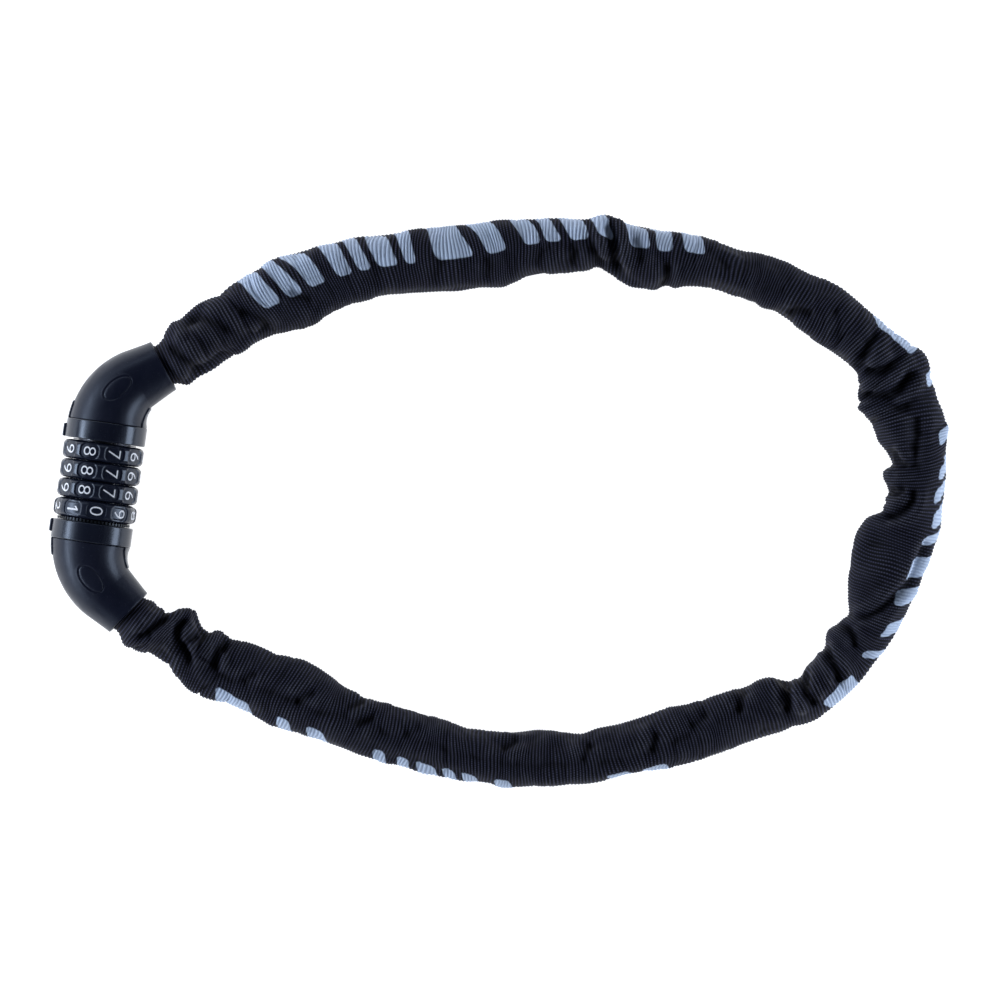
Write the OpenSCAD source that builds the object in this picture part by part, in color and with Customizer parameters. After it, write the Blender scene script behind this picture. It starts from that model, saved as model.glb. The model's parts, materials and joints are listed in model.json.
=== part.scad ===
// Four-dial combination chain lock, closed in its loop and lying flat.
// A barrel with four number dials joins two bent ends. A steel chain in a
// woven sleeve runs from one bent end round to the other.
// Origin: middle of the object's outline, on the surface that it lies on.
// +X runs from the barrel across the loop, +Y from the plug to the barrel.

/* [Barrel] */
// Outer diameter of the number dials over their ridges
dial_d = 25.2; // [25:0.1:25.4]
// Distance from one dial to the next
dial_pitch = 5.9; // [5.88:0.01:5.95]
// Width of one dial along the barrel
dial_w = 5.7; // [5.6:0.05:5.7]
// Depth of the ten flat number panels round each dial
panel_depth = 0.35; // [0.2:0.05:0.45]
// Outer diameter of the two collars
collar_d = 24.5; // [24:0.1:24.8]
// Height of each collar
collar_h = 5.8; // [5.5:0.1:6]
// Teeth round the knurled reset ring
knurl_count = 60; // [40:1:72]

/* [Bent ends] */
// Outer diameter of a bent end at its mouth
mouth_d = 16.4; // [16.3:0.1:16.8]
// Wall of the bent covers
cover_wall = 0.9; // [0.8:0.05:1]
// Radius of the bend
bend_r = 17.5; // [17.5:0.1:17.6]
// Angle of the bend
bend_a = 54; // [53.8:0.1:54.2]

/* [Chain] */
// Wire diameter of the links
wire_d = 3.3; // [3:0.1:3.3]
// Clear length inside a link
link_inner = 17.7; // [17.6:0.05:17.8]
// Width over a link
link_w = 11.8; // [11.7:0.1:11.9]
// Outer diameter of the woven sleeve, laid round
sleeve_d = 16.4; // [16:0.1:17]
// Wall of the woven sleeve
sleeve_wall = 0.9; // [0.6:0.1:1]

/* [Hidden] */

// barrel axis and the dials' middles
lock_x = -121.3;
lock_z = dial_d / 2;
dial_mid = -14.05;
dial_y = [for (i = [0:3]) dial_mid + (1.5 - i) * dial_pitch];
rim_u = -1.8;
rim_l = -26.8;

// the bent ends: a straight, an arc and a straight
bend_s0 = 6;
bend_arc = bend_r * bend_a * PI / 180;
bend_tail = 9;
bend_len = bend_s0 + bend_arc + bend_tail;
ux = sin(bend_a);
uy = cos(bend_a);
mouth_dx = bend_r * (1 - cos(bend_a)) + bend_tail * ux;
mouth_dy = bend_s0 + bend_r * sin(bend_a) + bend_tail * uy;
p1 = [lock_x + mouth_dx, rim_u + mouth_dy];
p2 = [lock_x + mouth_dx, rim_l - mouth_dy];

// route of the chain, from the upper mouth round to the far side, and back
far = [119.5, -14];
way_u = [p1, [-98, 29.5], [-90, 37], [-77, 47], [-64, 55.5], [-49, 62], [-33, 66.5], [-17, 70.5],
    [0, 75.5], [17, 79], [34, 79], [52, 78], [69, 75.5], [84, 70.5], [97, 63.5], [108, 55],
    [116, 46], [121, 36.5], [124.5, 26], [125.5, 15.5], [124.5, 5], [122, -5], far];
way_l = [far, [117.5, -24], [114.5, -31.5], [109.5, -39], [102.5, -46], [92, -52.5], [78, -60], [63, -67],
    [47, -73], [30, -77], [13, -79], [-5, -79.5], [-21, -78.5], [-37, -76], [-52, -72], [-66, -67.5],
    [-79, -63.5], [-91, -60], [-99, -56.5], p2];
z_low = sleeve_d / 2;
z_drop = 30;

// Catmull-Rom spline through the way points
function cr(a, b, c, d, t) = 0.5 * (2 * b + (c - a) * t + (2 * a - 5 * b + 4 * c - d) * t * t
    + (3 * b - 3 * c + d - a) * t * t * t);
function spline(w, before, after, n) = concat([for (i = [0:len(w) - 2], k = [0:n - 1])
    cr(i == 0 ? before : w[i - 1], w[i], w[i + 1], i == len(w) - 2 ? after : w[i + 2], k / n)],
    [w[len(w) - 1]]);
function steps(w) = [for (i = 0, s = 0; i < len(w);
    s = s + (i < len(w) - 1 ? norm(w[i + 1] - w[i]) : 0), i = i + 1) s];
function smooth(t) = t <= 0 ? 0 : t >= 1 ? 1 : t * t * (3 - 2 * t);

run_u = spline(way_u, p1 - 9 * [ux, uy], way_l[1], 8);
run_l = spline(way_l, way_u[len(way_u) - 2], p2 - 9 * [ux, -uy], 8);
s_u = steps(run_u);
s_l = steps(run_l);
len_u = s_u[len(s_u) - 1];
len_l = s_l[len(s_l) - 1];
// each run as tables of x and y against the length along it, a little past its ends
ext = 20;
tx_u = concat([[-ext, p1[0] - ext * ux]], [for (i = [0:len(s_u) - 1]) [s_u[i], run_u[i][0]]]);
ty_u = concat([[-ext, p1[1] - ext * uy]], [for (i = [0:len(s_u) - 1]) [s_u[i], run_u[i][1]]]);
tx_l = concat([for (i = [0:len(s_l) - 1]) [s_l[i], run_l[i][0]]], [[len_l + ext, p2[0] - ext * ux]]);
ty_l = concat([for (i = [0:len(s_l) - 1]) [s_l[i], run_l[i][1]]], [[len_l + ext, p2[1] + ext * uy]]);
function drop(s) = z_low + (lock_z - z_low) * (1 - smooth(s / z_drop));
function on_u(s) = [lookup(s, tx_u), lookup(s, ty_u), drop(s)];
function on_l(s) = [lookup(s, tx_l), lookup(s, ty_l), drop(len_l - s)];

// an even number of links in the first run and an odd number in the second
n_u = 2 * round(len_u / (link_inner - 0.5) / 2);
n_l = 2 * round((len_l / (link_inner - 0.5) - 1) / 2) + 1;
pitch_u = len_u / n_u;
pitch_l = len_l / n_l;

// one bent end: m is 1 for the upper one and -1 for the lower one
function bend_ang(s) = s < bend_s0 ? 0 : min(bend_a, (s - bend_s0) / bend_r * 180 / PI);
function bend_lat(s) = bend_r * (1 - cos(bend_ang(s))) + max(0, s - bend_s0 - bend_arc) * ux;
function bend_run(s) = min(s, bend_s0) + bend_r * sin(bend_ang(s)) + max(0, s - bend_s0 - bend_arc) * uy;
function bend_rad(s) = collar_d / 2 + (mouth_d - collar_d) / 2 * smooth_in(s / bend_len);
function smooth_in(t) = t * (0.55 + 0.45 * t * (2 - t));
function bend_pt(m, s, r, ph) = let (a = bend_ang(s))
    [lock_x + bend_lat(s) - r * cos(ph) * cos(a),
     (m > 0 ? rim_u : rim_l) + m * (bend_run(s) + r * cos(ph) * sin(a)),
     lock_z + r * sin(ph)];

// closed solid from rings of points that each run once round a C-shaped section
module c_solid(rings, k, flip) {
    n = len(rings);
    w = 2 * (k + 1);
    side = [for (i = [0:n - 2], j = [0:w - 1]) let (j2 = (j + 1) % w)
        [i * w + j, i * w + j2, (i + 1) * w + j2, (i + 1) * w + j]];
    cap0 = [for (j = [0:k - 1]) [j, w - 1 - j, w - 2 - j, j + 1]];
    cap1 = [for (j = [0:k - 1]) [j, j + 1, w - 2 - j, w - 1 - j] + (n - 1) * w * [1, 1, 1, 1]];
    f = concat(side, cap0, cap1);
    polyhedron(points = [for (r = rings, p = r) p],
        faces = flip ? [for (q = f) [q[3], q[2], q[1], q[0]]] : f, convexity = 6);
}

// part of the bent end's skin: s from s0 to s1, angle ph0 to ph1 round it
module bend_skin(m, s0, s1, n, ph0, ph1, k, out, wall, up = true) {
    rings = [for (i = [0:n]) let (s = s0 + (s1 - s0) * i / n, ro = bend_rad(s) + out, ri = ro - wall)
        concat([for (j = [0:k]) bend_pt(m, s, ro, ph0 + (ph1 - ph0) * j / k)],
               [for (j = [0:k]) bend_pt(m, s, ri, ph1 + (ph0 - ph1) * j / k)])];
    c_solid(rings, k, m > 0);
}

module along_y(y0, y1, r, fn = 96) {
    translate([lock_x, y0, lock_z]) rotate([-90, 0, 0]) cylinder(r = r, h = y1 - y0, $fn = fn);
}
module turned(fn = 96) {
    translate([lock_x, 0, lock_z]) rotate([-90, 0, 0]) rotate_extrude($fn = fn) children();
}
module at_top(ang) {
    translate([lock_x, 0, lock_z]) rotate([0, ang, 0]) children();
}

module collar(m) {
    y = m > 0 ? rim_u : rim_l;
    lip_r = m > 0 ? 8.15 : 10.1;
    lip_h = m > 0 ? 1 : 2.95;
    c = 0.35;
    translate([0, y, 0]) mirror([0, m > 0 ? 0 : 1, 0]) turned()
        polygon([[lip_r, 0], [collar_d / 2 - c, 0], [collar_d / 2, c], [collar_d / 2, collar_h],
            [10.9, collar_h], [10.9, lip_h], [lip_r, lip_h]]);
    // tongues up both sides of the covers
    bend_skin(m, collar_h - 0.4, collar_h + 3.4, 4, -13, 13, 4, 0.5, 0.38);
    bend_skin(m, collar_h - 0.4, 21.4, 10, 160, 200, 6, 0.5, 0.38);
    // index rib that the code is read against
    translate([lock_x - collar_d / 2 - 0.8, m > 0 ? y + 0.1 : y - 4.1, lock_z - 1.1]) cube([1.3, 4, 2.2]);
}
module bent_cover(m, front) {
    bend_skin(m, collar_h + 0.02, bend_len, 15, front ? 0 : 180, front ? 180 : 360, 14, 0, cover_wall);
}

module link() {
    r = (link_w - wire_d) / 2;
    h = (link_inner - link_w + 2 * wire_d) / 2;
    for (e = [0, 180]) rotate([0, 0, e]) {
        translate([h, 0, 0]) rotate([0, 0, -90]) rotate_extrude(angle = 180, $fn = 48)
            translate([r, 0]) circle(d = wire_d, $fn = 24);
        translate([-h, r, 0]) rotate([0, 90, 0]) cylinder(d = wire_d, h = 2 * h, $fn = 24);
    }
}
// a link between two points of a run, lying flat or on edge
module link_between(a, b, edge) {
    d = b - a;
    translate((a + b) / 2)
        rotate([edge ? 90 : 0, -asin(d[2] / norm(d)), atan2(d[1], d[0])]) link();
}
module anchor_link(m) {
    back = m > 0 ? pitch_u / 2 : pitch_l / 2;
    translate([p1[0] - back * ux, m > 0 ? p1[1] - back * uy : p2[1] + back * uy, lock_z])
        rotate([0, 0, m * atan2(uy, ux)]) link();
}
// where the pin goes through the anchor link
pin_back = 15;
pin_r = 1.75;
function pin_at(m) = [p1[0] - pin_back * ux, m > 0 ? p1[1] - pin_back * uy : p2[1] + pin_back * uy];
module anchor_pin(m) {
    translate([pin_at(m)[0], pin_at(m)[1], lock_z - 5.6]) {
        cylinder(r = pin_r, h = 11.2, $fn = 32);
        cylinder(r = pin_r + 0.8, h = 0.6, $fn = 32);
    }
}
// two cheeks either side of the anchor link, with the pin's bore
module cheeks(m, y0) {
    p = pin_at(m);
    base = [lock_x, y0];
    d = p - base;
    for (z = [-4.9, 2.1]) translate([0, 0, lock_z + z]) difference() {
        union() {
            translate([p[0], p[1], 0]) cylinder(r = 4.4, h = 2.8, $fn = 48);
            translate([base[0], base[1], 0]) rotate([0, 0, atan2(d[1], d[0])])
                translate([0, -4.4, 0]) cube([norm(d), 8.8, 2.8]);
        }
        translate([p[0], p[1], -1]) cylinder(r = pin_r + 0.03, h = 5, $fn = 32);
    }
}

core_r = 8;
core_end = -29.6;
bore_r = 4;
slot_w = 3.8;
fin_w = 3.4;
web_r = 8.06;
relief_r = 9.2;
ring_r = 9.95;
clip_y = -29;

module upper_collar() { color("#23263a") collar(1); }
module lower_collar() { color("#23263a") collar(-1); }
module upper_front_cover() { color("#262a3c") bent_cover(1, true); }
module upper_back_cover() { color("#262a3c") bent_cover(1, false); }
module lower_front_cover() { color("#262a3c") bent_cover(-1, true); }
module lower_back_cover() { color("#262a3c") bent_cover(-1, false); }

module barrel_core() {
    color("#a9adb3") {
        difference() {
            union() {
                along_y(core_end, 4.6, core_r);
                along_y(-0.75, 1.8, 10.8);
            }
            along_y(core_end - 1, 3, bore_r);
            // slot that the fins travel in
            at_top(0) translate([-slot_w / 2, core_end - 1, 0]) cube([slot_w, dial_y[0] + 1.4 - core_end + 1, 12]);
            // bed of the detent spring
            at_top(180) translate([-1.7, dial_y[3] - 2.9, 6.4]) cube([3.4, 3 * dial_pitch + 5.8, 4]);
            // groove of the retaining clip
            difference() {
                along_y(clip_y, clip_y + 0.6, core_r + 1);
                along_y(clip_y - 1, clip_y + 1.6, 7.4);
            }
        }
        cheeks(1, 4);
    }
}
module upper_anchor_pin() { color("#8d9196") anchor_pin(1); }
module lower_anchor_pin() { color("#8d9196") anchor_pin(-1); }
module upper_anchor_link() { color("#9a9da2") anchor_link(1); }
module lower_anchor_link() { color("#9a9da2") anchor_link(-1); }

module detent_spring() {
    color("#c3c6ca") at_top(180) {
        translate([-1.5, dial_y[3] - 2.6, 6.45]) cube([3, 3 * dial_pitch + 5.2, 0.4]);
        for (y = dial_y) translate([0, y + 0.8, 6.85]) intersection() {
            sphere(r = 1.1, $fn = 32);
            translate([-2, -2, -0.1]) cube([4, 4, 2]);
        }
    }
}

// coil from its points: a small ring of eight sides swept up the helix
module bolt_spring() {
    turns = 4.5; n = 16; r = 3.3; w = 0.35; y0 = -0.75; y1 = 2.6; m = turns * n;
    color("#b9bcc0") translate([lock_x, 0, lock_z]) polyhedron(
        points = [for (i = [0:m], j = [0:7]) let (a = 360 * i / n, q = r + w * cos(45 * j))
            [q * cos(a), y0 + (y1 - y0) * i / m + w * sin(45 * j), q * sin(a)]],
        faces = concat([[for (j = [0:7]) j]], [[for (j = [7:-1:0]) m * 8 + j]],
            [for (i = [0:m - 1], j = [0:7]) let (k = (j + 1) % 8)
                [i * 8 + j, (i + 1) * 8 + j, (i + 1) * 8 + k, i * 8 + k]]), convexity = 8);
}
module dial_washer() {
    color("#b9bcc0") difference() {
        along_y(-2.22, -1.9, 9.6);
        along_y(-3, 0, 8.15);
    }
}
module core_clip() {
    color("#b9bcc0") difference() {
        along_y(clip_y + 0.03, clip_y + 0.57, 9);
        along_y(clip_y - 1, clip_y + 2, 7.45);
        at_top(0) translate([-2.4, clip_y - 1, 0]) cube([4.8, 3, 12]);
    }
}

// a dial with ten flat panels, turned so that its panels sit at ang
module dial(y, ang) {
    r = dial_d / 2;
    h = dial_w / 2;
    color("#24283a") translate([0, y, 0]) difference() {
        turned() polygon([[10, -h], [r - 0.9, -h], [r - 0.26, 0.26 - h + 0.3], [r, 1 - h], [r, h - 1],
            [r - 0.26, h - 0.56], [r - 0.9, h], [10, h]]);
        for (i = [0:9]) at_top(ang + 36 * i)
            translate([-3.2, 0.7 - h, r - panel_depth]) cube([6.4, dial_w - 1.4, 3]);
        for (a = [90, 270]) at_top(a) translate([-0.85, -4, 9]) cube([1.7, 8, 1.7]);
    }
}
// the ring inside a dial: its web stops a fin unless the gate is under it
module code_ring(y) {
    color("#c9b37a") translate([0, y, 0]) difference() {
        union() {
            turned() polygon([[web_r, -2.75], [ring_r, -2.75], [ring_r, 2.75], [relief_r, 2.75],
                [relief_r, -1.05], [web_r, -1.05]]);
            for (a = [90, 270]) at_top(a) translate([-0.8, -2.6, 9.6]) cube([1.6, 5.2, 1]);
        }
        at_top(0) translate([-slot_w / 2, -4, 6]) cube([slot_w, 4.5, 3.25]);
    }
}
module dial_1() { dial(dial_y[0], 19.5); }
module dial_2() { dial(dial_y[1], 19.5); }
module dial_3() { dial(dial_y[2], 19.5); }
module dial_4() { dial(dial_y[3], 5); }
module code_ring_1() { code_ring(dial_y[0]); }
module code_ring_2() { code_ring(dial_y[1]); }
module code_ring_3() { code_ring(dial_y[2]); }
module code_ring_4() { code_ring(dial_y[3]); }

module reset_ring() {
    top = dial_y[3] - dial_w / 2 - 0.12;
    color("#15171f") difference() {
        union() {
            along_y(rim_l + 0.15, top, 10.6);
            for (i = [0:knurl_count - 1]) at_top(i * 360 / knurl_count)
                translate([-0.3, rim_l + 0.15, 10.2]) cube([0.6, top - rim_l - 0.15, 0.9]);
            along_y(clip_y + 0.75, rim_l + 0.5, 9.5);
        }
        along_y(-40, -10, 8.1);
        at_top(0) translate([-slot_w / 2, -40, 6]) cube([slot_w, 30, 3.25]);
    }
}

module plug_bolt() {
    color("#a9adb3") {
        along_y(-32.2, -1.1, 3.8, 64);
        along_y(-32.4, -29.85, 10.8);
        along_y(-34, -32.3, core_r);
        for (y = dial_y) at_top(0) translate([-fin_w / 2, y - 0.6, 2]) cube([fin_w, 1.6, 6.7]);
        cheeks(-1, -33.4);
    }
}

module upper_chain_links() {
    color("#9a9da2") for (i = [0:n_u - 1])
        link_between(on_u(i * pitch_u), on_u((i + 1) * pitch_u), i % 2 == 0);
}
module lower_chain_links() {
    color("#9a9da2") for (i = [0:n_l - 1])
        link_between(on_l(i * pitch_l), on_l((i + 1) * pitch_l), i % 2 == 0);
}

// closed woven tube from rings of sixteen points, outer wall then inner wall
sides = 16;
function ring(c, t, r) = let (n = [-t[1], t[0], 0] / norm([t[0], t[1]]), b = cross(t, n) / norm(t))
    [for (j = [0:sides - 1]) c + r * (cos(360 * j / sides) * n + sin(360 * j / sides) * b)];
module tube(cs, ts, ro, ri) {
    n = len(cs);
    o = [for (i = [0:n - 1]) ring(cs[i], ts[i], ro[i])];
    q = [for (i = [0:n - 1]) ring(cs[i], ts[i], ri[i])];
    f = concat(
        [for (i = [0:n - 2], j = [0:sides - 1]) let (k = (j + 1) % sides)
            [i * sides + j, (i + 1) * sides + j, (i + 1) * sides + k, i * sides + k]],
        [for (i = [0:n - 2], j = [0:sides - 1]) let (k = (j + 1) % sides, z = n * sides)
            [z + i * sides + k, z + (i + 1) * sides + k, z + (i + 1) * sides + j, z + i * sides + j]],
        [for (j = [0:sides - 1]) let (k = (j + 1) % sides, z = n * sides) [j, k, z + k, z + j]],
        [for (j = [0:sides - 1]) let (k = (j + 1) % sides, e = (n - 1) * sides, z = n * sides + e)
            [e + k, e + j, z + j, z + k]]);
    polyhedron(points = concat([for (r = o, p = r) p], [for (r = q, p = r) p]), faces = f, convexity = 6);
}
tuck = 2;
gap = 1.9;
// outer radius of the sleeve against the distance from the mouth
function puff(s) = 6.75 + (sleeve_d / 2 - 6.75) * smooth((s - 1.5) / 6);
function stations(l, n) = concat([-tuck, 0, 1.5, 3, 5, 7.5, 11], [for (i = [1:n]) 11 + (l - gap - 11) * i / n]);
module sleeve_run(st, pts) {
    n = len(st);
    ts = [for (i = [0:n - 1]) let (a = pts[max(0, i - 1)], b = pts[min(n - 1, i + 1)]) (b - a) / norm(b - a)];
    ro = [for (s = st) puff(s)];
    tube(pts, ts, ro, [for (i = [0:n - 1]) ro[i] - (0.35 + (sleeve_wall - 0.35) * smooth((st[i] - 1.5) / 6))]);
}
module sleeve_upper() {
    st = stations(len_u, 34);
    color("#1b1c24") sleeve_run(st, [for (s = st) on_u(s)]);
}
module sleeve_lower() {
    st = stations(len_l, 34);
    color("#1b1c24") sleeve_run(st, [for (s = st) on_l(len_l - s)]);
}

upper_collar();
upper_front_cover();
upper_back_cover();
barrel_core();
upper_anchor_pin();
upper_anchor_link();
detent_spring();
bolt_spring();
dial_washer();
core_clip();
dial_1();
dial_2();
dial_3();
dial_4();
code_ring_1();
code_ring_2();
code_ring_3();
code_ring_4();
reset_ring();
lower_collar();
lower_front_cover();
lower_back_cover();
plug_bolt();
lower_anchor_pin();
lower_anchor_link();
upper_chain_links();
sleeve_upper();
lower_chain_links();
sleeve_lower();
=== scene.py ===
import bpy
import bmesh
import json
import math
import numpy as np
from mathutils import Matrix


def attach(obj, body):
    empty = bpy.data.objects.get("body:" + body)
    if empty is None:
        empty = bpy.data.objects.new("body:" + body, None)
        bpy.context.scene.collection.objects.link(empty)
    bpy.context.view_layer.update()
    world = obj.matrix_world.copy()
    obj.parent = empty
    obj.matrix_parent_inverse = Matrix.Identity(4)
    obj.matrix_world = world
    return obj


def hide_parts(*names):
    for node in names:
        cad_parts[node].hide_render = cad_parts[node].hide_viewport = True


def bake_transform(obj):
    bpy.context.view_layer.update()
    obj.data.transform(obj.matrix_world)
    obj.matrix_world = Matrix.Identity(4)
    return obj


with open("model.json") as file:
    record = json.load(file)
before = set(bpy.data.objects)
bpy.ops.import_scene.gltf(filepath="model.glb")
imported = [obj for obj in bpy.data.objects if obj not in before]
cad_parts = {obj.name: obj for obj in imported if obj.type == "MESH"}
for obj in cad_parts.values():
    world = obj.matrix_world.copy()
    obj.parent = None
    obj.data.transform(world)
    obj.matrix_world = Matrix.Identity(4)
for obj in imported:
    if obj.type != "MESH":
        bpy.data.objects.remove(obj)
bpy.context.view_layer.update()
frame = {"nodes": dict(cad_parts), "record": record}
MM = 0.001
rad = math.radians

# ---------------------------------------------------------------- camera
CAM_X, CAM_Y, CAM_ROLL = 0.14, -2.475, 8.06
CAM_UP = 2.2
cam_data = bpy.data.cameras.new("camera")
cam_data.sensor_width = 36.0
cam_data.lens = 36.0 * CAM_UP / 0.304
cam_data.clip_start = 0.05
cam_data.clip_end = 20.0
cam = bpy.data.objects.new("camera", cam_data)
bpy.context.scene.collection.objects.link(cam)
cam.location = (CAM_X * MM, CAM_Y * MM, 0.0126 + CAM_UP)
cam.rotation_euler = (0.0, 0.0, rad(CAM_ROLL))
bpy.context.scene.camera = cam

# ---------------------------------------------------------------- numbers of the design, in mm
DIAL_R, DIAL_H, PITCH = 12.6, 2.85, 5.9
COLLAR_R, COLLAR_H = 12.25, 5.8
MOUTH_R, WALL, BEND_R, BEND_A = 8.2, 0.9, 17.5, rad(54)
LX, LZ = -121.3, 12.6
DIAL_Y = [-5.2, -11.1, -17.0, -22.9]
RIM_U, RIM_L = -1.8, -26.8
S0, TAIL = 6.0, 9.0
ARC = BEND_R * BEND_A
BLEN = S0 + ARC + TAIL
UX, UY = math.sin(BEND_A), math.cos(BEND_A)


# ---------------------------------------------------------------- material helpers
class Nodes:
    def __init__(self, name):
        self.mat = bpy.data.materials.new(name)
        self.mat.use_nodes = True
        self.t = self.mat.node_tree
        self.t.nodes.clear()
        self.out = self.t.nodes.new("ShaderNodeOutputMaterial")
        self.bsdf = self.t.nodes.new("ShaderNodeBsdfPrincipled")
        self.t.links.new(self.bsdf.outputs["BSDF"], self.out.inputs["Surface"])

    def put(self, sock, v):
        if isinstance(v, bpy.types.NodeSocket):
            self.t.links.new(v, sock)
        elif isinstance(v, (tuple, list)) and len(v) == 3 and sock.type == "RGBA":
            sock.default_value = (*v, 1.0)
        else:
            sock.default_value = v

    def set(self, **kw):
        for k, v in kw.items():
            self.put(self.bsdf.inputs[k.replace("_", " ")], v)

    def math(self, op, a, b=None, c=None, clamp=False):
        n = self.t.nodes.new("ShaderNodeMath")
        n.operation = op
        n.use_clamp = clamp
        for i, v in enumerate((a, b, c)):
            if v is not None:
                self.put(n.inputs[i], v)
        return n.outputs[0]

    def mix(self, f, a, b):
        n = self.t.nodes.new("ShaderNodeMix")
        n.data_type = "RGBA"
        self.put(n.inputs[0], f)
        self.put(n.inputs[6], a)
        self.put(n.inputs[7], b)
        return n.outputs[2]

    def mixf(self, f, a, b):
        n = self.t.nodes.new("ShaderNodeMix")
        n.data_type = "FLOAT"
        self.put(n.inputs[0], f)
        self.put(n.inputs[2], a)
        self.put(n.inputs[3], b)
        return n.outputs[0]

    def ramp(self, v, lo, hi, a=0.0, b=1.0, smooth=True):
        n = self.t.nodes.new("ShaderNodeMapRange")
        n.interpolation_type = "SMOOTHSTEP" if smooth else "LINEAR"
        n.clamp = True
        self.put(n.inputs["Value"], v)
        n.inputs["From Min"].default_value = lo
        n.inputs["From Max"].default_value = hi
        n.inputs["To Min"].default_value = a
        n.inputs["To Max"].default_value = b
        return n.outputs["Result"]

    def coords(self):
        n = self.t.nodes.new("ShaderNodeTexCoord")
        return n.outputs["Object"]

    def scaled(self, vec, s):
        n = self.t.nodes.new("ShaderNodeMapping")
        self.put(n.inputs["Vector"], vec)
        n.inputs["Scale"].default_value = s
        return n.outputs["Vector"]

    def noise(self, vec, scale, detail=3.0, rough=0.55, distort=0.0):
        n = self.t.nodes.new("ShaderNodeTexNoise")
        self.put(n.inputs["Vector"], vec)
        n.inputs["Scale"].default_value = scale
        n.inputs["Detail"].default_value = detail
        n.inputs["Roughness"].default_value = rough
        n.inputs["Distortion"].default_value = distort
        return n.outputs["Fac"]

    def bump(self, height, strength, distance, normal=None):
        n = self.t.nodes.new("ShaderNodeBump")
        self.put(n.inputs["Height"], height)
        n.inputs["Strength"].default_value = strength
        n.inputs["Distance"].default_value = distance
        if normal is not None:
            self.put(n.inputs["Normal"], normal)
        return n.outputs["Normal"]

    def uv(self, name):
        n = self.t.nodes.new("ShaderNodeUVMap")
        n.uv_map = name
        s = self.t.nodes.new("ShaderNodeSeparateXYZ")
        self.t.links.new(n.outputs["UV"], s.inputs[0])
        return n.outputs["UV"], s.outputs[0], s.outputs[1]

    def attr(self, name):
        n = self.t.nodes.new("ShaderNodeAttribute")
        n.attribute_name = name
        return n.outputs["Fac"]


def plastic(name, base, light, rough, grain=1.0, level=0.5):
    """Satin moulded plastic: faint mottling, fine spark-eroded grain, handling marks that are a little shinier."""
    m = Nodes(name)
    co = m.coords()
    mottle = m.noise(co, 260.0, 4.0, 0.6)
    fine = m.noise(co, 5200.0, 2.0, 0.5)
    grains = m.noise(co, 2300.0, 3.0, 0.55)
    wipe = m.noise(m.scaled(co, (1.0, 0.35, 1.0)), 120.0, 3.0, 0.6, 0.6)
    speck = m.ramp(m.noise(co, 3600.0, 1.0, 0.4), 0.70, 0.78)
    c = m.mix(m.ramp(mottle, 0.35, 0.7), base, light)
    c = m.mix(m.math("MULTIPLY", speck, 0.35), c, (0.09, 0.10, 0.13))
    r = m.mixf(m.ramp(wipe, 0.40, 0.66), rough - 0.05, rough + 0.07)
    r = m.math("ADD", r, m.math("MULTIPLY", m.math("SUBTRACT", fine, 0.5), 0.10), clamp=True)
    h = m.math("ADD", m.math("MULTIPLY", grains, 0.7), m.math("MULTIPLY", fine, 0.3))
    nrm = m.bump(h, 0.14 * grain, 0.00004)
    nrm = m.bump(m.noise(co, 90.0, 2.0, 0.5), 0.12, 0.00012, nrm)
    m.set(Base_Color=c, Roughness=r, Normal=nrm)
    m.bsdf.inputs["IOR"].default_value = 1.5
    m.bsdf.inputs["Specular IOR Level"].default_value = level
    m.bsdf.inputs["Specular Tint"].default_value = (0.74, 0.84, 1.0, 1.0)
    return m.mat


def metal(name, base, dark, rough, streak=(1.0, 0.05, 1.0)):
    """Turned or plated metal: fine streaks from the cut, dull patches and small pits."""
    m = Nodes(name)
    co = m.coords()
    st = m.noise(m.scaled(co, streak), 3000.0, 3.0, 0.6)
    patch = m.noise(co, 180.0, 4.0, 0.6)
    pits = m.ramp(m.noise(co, 1500.0, 2.0, 0.5), 0.66, 0.74)
    c = m.mix(m.ramp(patch, 0.35, 0.7), base, dark)
    c = m.mix(m.math("MULTIPLY", pits, 0.5), c, tuple(v * 0.35 for v in dark))
    r = m.mixf(m.ramp(st, 0.3, 0.7), rough - 0.08, rough + 0.10)
    r = m.math("ADD", r, m.math("MULTIPLY", patch, 0.08), clamp=True)
    nrm = m.bump(st, 0.30, 0.00003)
    nrm = m.bump(pits, 0.25, 0.00005, nrm)
    m.set(Base_Color=c, Roughness=r, Normal=nrm)
    m.bsdf.inputs["Metallic"].default_value = 1.0
    return m.mat


def ink(name):
    """White pad-printed ink, slightly uneven, with worn places showing a little grey."""
    m = Nodes(name)
    co = m.coords()
    n = m.noise(co, 2600.0, 3.0, 0.6)
    c = m.mix(m.ramp(n, 0.30, 0.62), (0.72, 0.75, 0.82), (0.88, 0.89, 0.93))
    m.set(Base_Color=c, Roughness=m.mixf(n, 0.45, 0.65), Normal=m.bump(n, 0.3, 0.00003))
    return m.mat


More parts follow.
